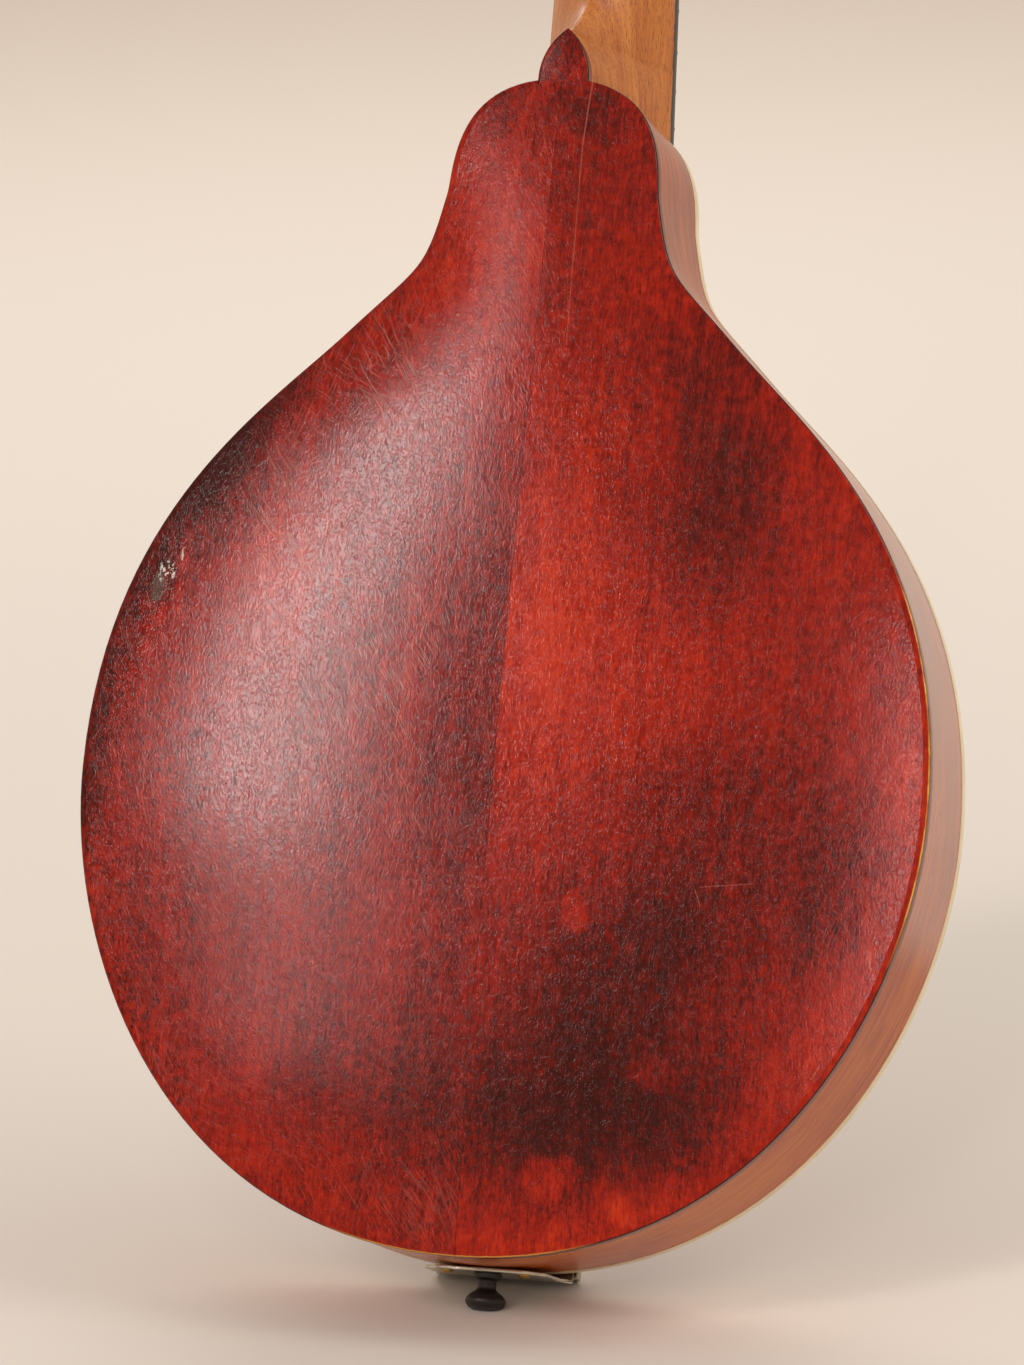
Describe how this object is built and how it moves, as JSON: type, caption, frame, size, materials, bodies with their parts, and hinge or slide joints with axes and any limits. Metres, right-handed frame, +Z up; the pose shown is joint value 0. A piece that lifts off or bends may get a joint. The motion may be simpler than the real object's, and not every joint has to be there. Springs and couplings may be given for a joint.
{
  "type": "a-style mandolin",
  "caption": "Teardrop-bodied mandolin with a carved top and back, oval sound hole, paired strings, turning worm-gear tuners and a sliding tailpiece cover.",
  "frame": {"origin": "tail end of the body, on the centreline, halfway between the glued faces of the rim", "axes": "+Z up the neck, +Y out of the back, +X to the treble side"},
  "size_m": [0.2506, 0.1033, 0.668],
  "materials": {
    "back_wood": "dark red varnish, glossy, scratched",
    "top_wood": "dark red varnish, glossy",
    "side_wood": "red-brown varnish, glossy",
    "neck_wood": "orange-brown varnish, satin",
    "inner_wood": "raw",
    "black_wood": "polished black",
    "binding": "aged ivory",
    "bone": "polished bone",
    "nickel": "nickel plate",
    "gear_brass": "cut brass",
    "steel": "turned steel",
    "button": "aged ivory",
    "plain_string": "drawn wire",
    "wound_string": "bronze wound wire"
  },
  "bodies": {
    "root": {"soundboard": "top_wood", "back_plate": "back_wood", "rim": "side_wood", "top_lining": "inner_wood", "back_lining": "inner_wood", "neck_block": "inner_wood", "tail_block": "inner_wood", "tone_bar": "inner_wood", "top_binding": "binding", "neck": "neck_wood", "headstock_veneer": "black_wood", "fingerboard": "black_wood", "nut": "bone", "end_pin": "black_wood", "tailpiece": "nickel", "bridge_base": "black_wood", "bridge_saddle": "black_wood", "tuner_plate_bass": "nickel", "tuner_plate_treble": "nickel", "string_g1": "wound_string", "string_g2": "wound_string", "string_d1": "wound_string", "string_d2": "wound_string", "string_a1": "plain_string", "string_a2": "plain_string", "string_e1": "plain_string", "string_e2": "plain_string"},
    "cover": {"tailpiece_cover": "nickel"},
    "button_bass_1": {"worm_shaft_bass_1": "steel", "tuner_button_bass_1": "button"},
    "post_bass_1": {"string_post_bass_1": "nickel", "tuner_gear_bass_1": "gear_brass"},
    "button_bass_2": {"worm_shaft_bass_2": "steel", "tuner_button_bass_2": "button"},
    "post_bass_2": {"string_post_bass_2": "nickel", "tuner_gear_bass_2": "gear_brass"},
    "button_bass_3": {"worm_shaft_bass_3": "steel", "tuner_button_bass_3": "button"},
    "post_bass_3": {"string_post_bass_3": "nickel", "tuner_gear_bass_3": "gear_brass"},
    "button_bass_4": {"worm_shaft_bass_4": "steel", "tuner_button_bass_4": "button"},
    "post_bass_4": {"string_post_bass_4": "nickel", "tuner_gear_bass_4": "gear_brass"},
    "button_treble_1": {"worm_shaft_treble_1": "steel", "tuner_button_treble_1": "button"},
    "post_treble_1": {"string_post_treble_1": "nickel", "tuner_gear_treble_1": "gear_brass"},
    "button_treble_2": {"worm_shaft_treble_2": "steel", "tuner_button_treble_2": "button"},
    "post_treble_2": {"string_post_treble_2": "nickel", "tuner_gear_treble_2": "gear_brass"},
    "button_treble_3": {"worm_shaft_treble_3": "steel", "tuner_button_treble_3": "button"},
    "post_treble_3": {"string_post_treble_3": "nickel", "tuner_gear_treble_3": "gear_brass"},
    "button_treble_4": {"worm_shaft_treble_4": "steel", "tuner_button_treble_4": "button"},
    "post_treble_4": {"string_post_treble_4": "nickel", "tuner_gear_treble_4": "gear_brass"}
  },
  "joints": [
    {"name": "button_turn_bass_1", "type": "hinge", "parent": "root", "child": "button_bass_1", "pos_m": [-0.02079, 0.01518, 0.53185], "axis": [-0.9962, -0.0284, -0.0824], "continuous": true},
    {"name": "post_turn_bass_1", "type": "hinge", "parent": "root", "child": "post_bass_1", "pos_m": [-0.02146, 0.01287, 0.54081], "axis": [0, 0.9455, -0.3256], "continuous": true},
    {"name": "button_turn_bass_2", "type": "hinge", "parent": "root", "child": "button_bass_2", "pos_m": [-0.02279, 0.02264, 0.55351], "axis": [-0.9962, -0.0284, -0.0824], "continuous": true},
    {"name": "post_turn_bass_2", "type": "hinge", "parent": "root", "child": "post_bass_2", "pos_m": [-0.02347, 0.02033, 0.56247], "axis": [0, 0.9455, -0.3256], "continuous": true},
    {"name": "button_turn_bass_3", "type": "hinge", "parent": "root", "child": "button_bass_3", "pos_m": [-0.0248, 0.0301, 0.57518], "axis": [-0.9962, -0.0284, -0.0824], "continuous": true},
    {"name": "post_turn_bass_3", "type": "hinge", "parent": "root", "child": "post_bass_3", "pos_m": [-0.02547, 0.02779, 0.58414], "axis": [0, 0.9455, -0.3256], "continuous": true},
    {"name": "button_turn_bass_4", "type": "hinge", "parent": "root", "child": "button_bass_4", "pos_m": [-0.0268, 0.03756, 0.59684], "axis": [-0.9962, -0.0284, -0.0824], "continuous": true},
    {"name": "post_turn_bass_4", "type": "hinge", "parent": "root", "child": "post_bass_4", "pos_m": [-0.02748, 0.03525, 0.6058], "axis": [0, 0.9455, -0.3256], "continuous": true},
    {"name": "button_turn_treble_1", "type": "hinge", "parent": "root", "child": "button_treble_1", "pos_m": [0.02079, 0.01518, 0.53185], "axis": [0.9962, -0.0284, -0.0824], "continuous": true},
    {"name": "post_turn_treble_1", "type": "hinge", "parent": "root", "child": "post_treble_1", "pos_m": [0.02146, 0.01287, 0.54081], "axis": [0, 0.9455, -0.3256], "continuous": true},
    {"name": "button_turn_treble_2", "type": "hinge", "parent": "root", "child": "button_treble_2", "pos_m": [0.02279, 0.02264, 0.55351], "axis": [0.9962, -0.0284, -0.0824], "continuous": true},
    {"name": "post_turn_treble_2", "type": "hinge", "parent": "root", "child": "post_treble_2", "pos_m": [0.02347, 0.02033, 0.56247], "axis": [0, 0.9455, -0.3256], "continuous": true},
    {"name": "button_turn_treble_3", "type": "hinge", "parent": "root", "child": "button_treble_3", "pos_m": [0.0248, 0.0301, 0.57518], "axis": [0.9962, -0.0284, -0.0824], "continuous": true},
    {"name": "post_turn_treble_3", "type": "hinge", "parent": "root", "child": "post_treble_3", "pos_m": [0.02547, 0.02779, 0.58414], "axis": [0, 0.9455, -0.3256], "continuous": true},
    {"name": "button_turn_treble_4", "type": "hinge", "parent": "root", "child": "button_treble_4", "pos_m": [0.0268, 0.03756, 0.59684], "axis": [0.9962, -0.0284, -0.0824], "continuous": true},
    {"name": "post_turn_treble_4", "type": "hinge", "parent": "root", "child": "post_treble_4", "pos_m": [0.02748, 0.03525, 0.6058], "axis": [0, 0.9455, -0.3256], "continuous": true},
    {"name": "tailpiece_cover_slide", "type": "slide", "parent": "root", "child": "cover", "axis": [0, -0.1222, 0.9925], "range_m": [0, 0.014]}
  ],
  "couplings": [
    {"joint": "post_turn_bass_1", "follows": "button_turn_bass_1", "ratio": -0.071429},
    {"joint": "post_turn_bass_2", "follows": "button_turn_bass_2", "ratio": -0.071429},
    {"joint": "post_turn_bass_3", "follows": "button_turn_bass_3", "ratio": -0.071429},
    {"joint": "post_turn_bass_4", "follows": "button_turn_bass_4", "ratio": -0.071429},
    {"joint": "post_turn_treble_1", "follows": "button_turn_treble_1", "ratio": -0.071429},
    {"joint": "post_turn_treble_2", "follows": "button_turn_treble_2", "ratio": -0.071429},
    {"joint": "post_turn_treble_3", "follows": "button_turn_treble_3", "ratio": -0.071429},
    {"joint": "post_turn_treble_4", "follows": "button_turn_treble_4", "ratio": -0.071429}
  ]
}
